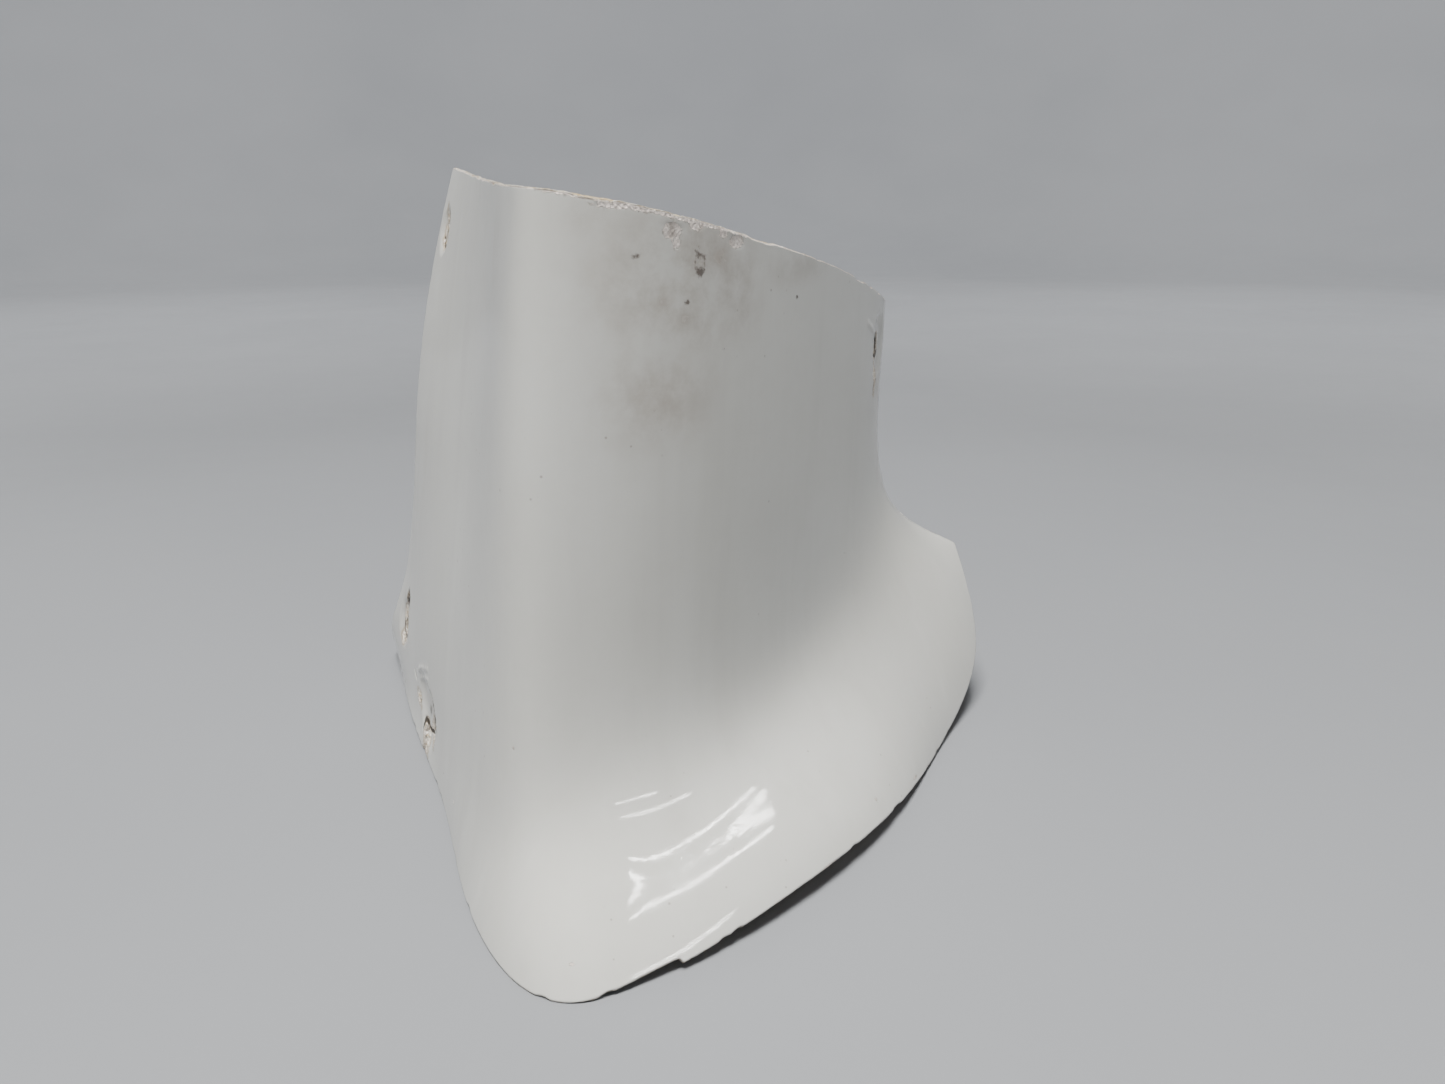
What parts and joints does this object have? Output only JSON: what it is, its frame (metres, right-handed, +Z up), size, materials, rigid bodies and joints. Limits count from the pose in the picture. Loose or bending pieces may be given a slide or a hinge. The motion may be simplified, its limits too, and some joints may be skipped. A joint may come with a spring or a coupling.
{
  "type": "moulded root fairing",
  "caption": "Thin moulded fairing cuff: a U-shaped neck wraps a leading edge and flares into a lopsided skirt that lies on the body it joins; held by screws.",
  "frame": {"origin": "middle of the footprint's box, on the plane that the skirt's rim stands on", "axes": "+Z up from the skirt to the neck's edge; -Y towards the nose of the U, +Y out of its open back; +X towards the wide side of the skirt"},
  "size_m": [0.2422, 0.2374, 0.2008],
  "materials": {
    "painted_laminate": "gloss light warm grey paint on glass-fibre laminate, worn and chipped at the edges and screw seats",
    "raw_laminate": "bare tan glass-fibre laminate with its weave showing"
  },
  "bodies": {
    "root": {"fairing_shell": "painted_laminate", "neck_edge_band": "raw_laminate", "left_neck_pad": "raw_laminate", "right_neck_pad": "raw_laminate", "left_skirt_rear_pad": "raw_laminate", "left_skirt_front_pad": "raw_laminate"}
  },
  "joints": []
}
